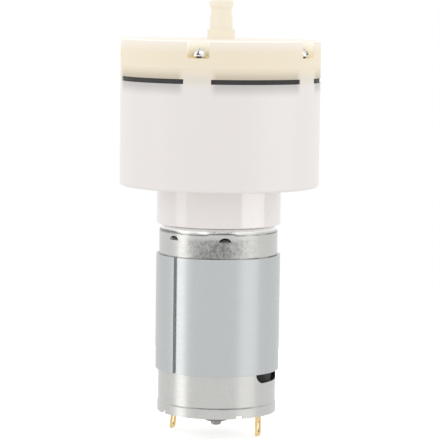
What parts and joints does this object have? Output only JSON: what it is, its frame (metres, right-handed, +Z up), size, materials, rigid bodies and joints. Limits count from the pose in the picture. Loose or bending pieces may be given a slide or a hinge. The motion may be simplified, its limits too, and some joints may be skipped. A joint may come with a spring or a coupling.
{
  "type": "mini vacuum pump",
  "caption": "Upright diaphragm vacuum pump: steel-cased motor below, white cylindrical housing, cream cover with a central hose nozzle on top.",
  "frame": {"origin": "on the motor axis, half way along the flux ring round the motor can", "axes": "+Z up the motor axis towards the hose nozzle; -Y is the side the reference view looks at"},
  "size_m": [0.0602, 0.0602, 0.1316],
  "materials": {
    "plated_steel": "bright zinc plated, finely scratched",
    "ring_steel": "satin grey plating",
    "ferrite": "ground ferrite",
    "spring_steel": "bright sheet",
    "sintered_bronze": "oil-filled sintered bush",
    "black_plastic": "moulded phenolic",
    "terminal_brass": "bright punched sheet",
    "carbon": "pressed carbon",
    "bright_screw": "nickel plated",
    "white_plastic": "white, slightly translucent",
    "black_rubber": "satin rubber",
    "cream_plastic": "cream, softly glossy",
    "ground_steel": "ground",
    "core_steel": "stacked laminations",
    "insulator_plastic": "moulded nylon",
    "copper_wire": "enamelled copper wire",
    "commutator_copper": "turned copper",
    "valve_rubber": "soft rubber"
  },
  "bodies": {
    "root": {"motor_can": "plated_steel", "flux_ring": "ring_steel", "magnet_1": "ferrite", "magnet_2": "ferrite", "magnet_clip_1": "spring_steel", "magnet_clip_2": "spring_steel", "end_plate": "plated_steel", "rear_bearing": "sintered_bronze", "front_bearing": "sintered_bronze", "brush_card": "black_plastic", "terminal_1": "terminal_brass", "terminal_2": "terminal_brass", "brush_arm_1": "terminal_brass", "brush_arm_2": "terminal_brass", "brush_1": "carbon", "brush_2": "carbon", "motor_screws": "bright_screw", "pump_housing": "white_plastic", "diaphragm_seat": "white_plastic", "diaphragm": "black_rubber", "valve_plate": "cream_plastic", "inlet_valve_1": "valve_rubber", "inlet_valve_2": "valve_rubber", "inlet_valve_3": "valve_rubber", "inlet_valve_4": "valve_rubber", "inlet_valve_5": "valve_rubber", "outlet_valve_1": "valve_rubber", "outlet_valve_2": "valve_rubber", "outlet_valve_3": "valve_rubber", "outlet_valve_4": "valve_rubber", "outlet_valve_5": "valve_rubber", "inner_seal": "black_rubber", "outer_seal": "black_rubber", "head_cover": "cream_plastic", "cover_screws": "bright_screw"},
    "rotor": {"motor_shaft": "ground_steel", "armature_core": "core_steel", "rear_insulator": "insulator_plastic", "front_insulator": "insulator_plastic", "windings": "copper_wire", "commutator_hub": "black_plastic", "commutator_segments": "commutator_copper", "rear_thrust_washer": "insulator_plastic", "front_thrust_washer": "insulator_plastic", "shaft_spacer": "terminal_brass", "eccentric": "white_plastic"},
    "wobble": {"wobble_plate": "white_plastic", "drive_pin": "ground_steel"}
  },
  "joints": [
    {"name": "rotor_spin", "type": "hinge", "parent": "root", "child": "rotor", "pos_m": [0, 0, 0], "axis": [0, 0, 1], "continuous": true},
    {"name": "plate_rock", "type": "hinge", "parent": "rotor", "child": "wobble", "pos_m": [0, 0, 0.0567], "axis": [0, -0.1045, 0.9945], "continuous": true, "deforming": ["diaphragm"]}
  ],
  "couplings": [
    {"joint": "plate_rock", "follows": "rotor_spin", "ratio": -1}
  ]
}
